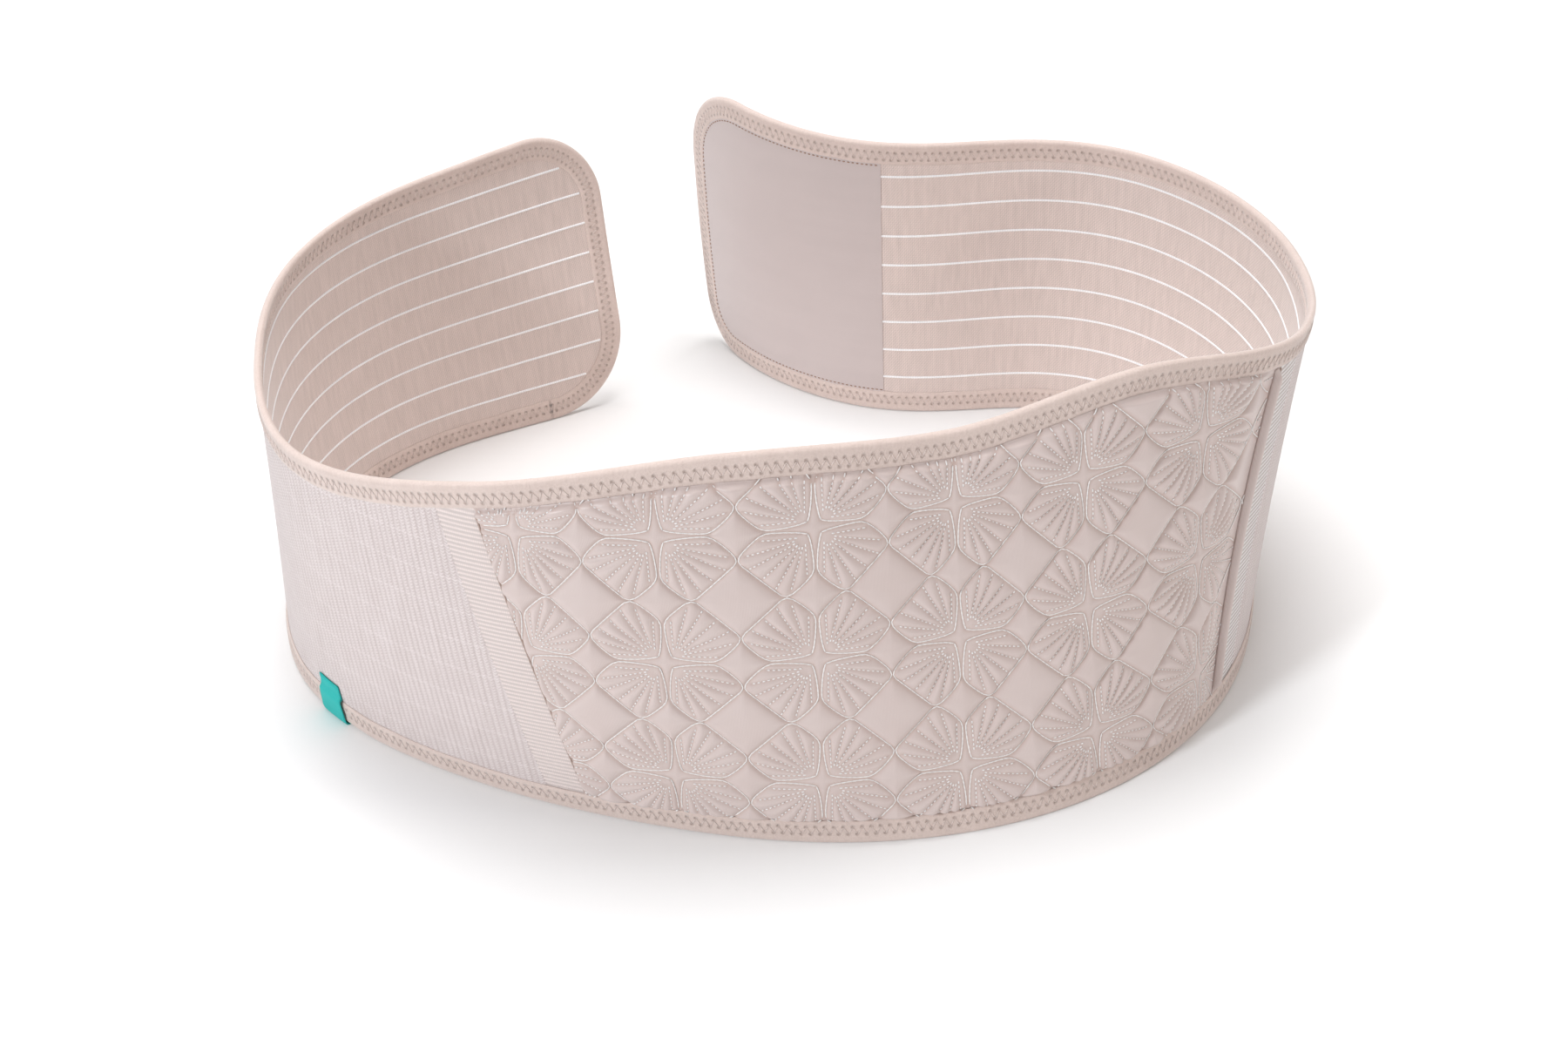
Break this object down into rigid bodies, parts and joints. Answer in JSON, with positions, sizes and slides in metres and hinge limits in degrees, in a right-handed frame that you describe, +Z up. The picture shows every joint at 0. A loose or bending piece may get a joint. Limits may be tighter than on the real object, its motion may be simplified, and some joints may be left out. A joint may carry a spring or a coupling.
{
  "type": "maternity support belt",
  "caption": "Long cloth support belt with a flower-quilted front panel, striped elastic wings, bound edges and a hook patch, standing on its edge in an open loop.",
  "frame": {"origin": "on the floor, under the middle of the belt's box", "axes": "+Z up; the quilted front panel faces -Y; the two ends part at the back, at +Y; +X to the right seen from the front"},
  "size_m": [0.4184, 0.3678, 0.1663],
  "materials": {
    "quilted_satin": "pale blush satin jersey, padded and stitched",
    "elastic_knit": "brushed loop knit outside, fine striped elastic inside",
    "ribbed_tape": "ribbed elastic tape, beige with white ribs",
    "binding_tape": "soft pinkish beige tape with zigzag stitching",
    "hook_tape": "smooth fine hook tape",
    "label_cloth": "teal woven tape, blank"
  },
  "bodies": {
    "root": {"quilted_panel": "quilted_satin", "left_wing": "elastic_knit", "right_wing": "elastic_knit", "left_rib_band": "ribbed_tape", "right_rib_band": "ribbed_tape", "top_binding_left": "binding_tape", "top_binding_right": "binding_tape", "bottom_binding_left": "binding_tape", "bottom_binding_right": "binding_tape", "left_end_binding": "binding_tape", "right_end_binding": "binding_tape", "hook_patch": "hook_tape", "label_tab": "label_cloth"}
  },
  "joints": []
}
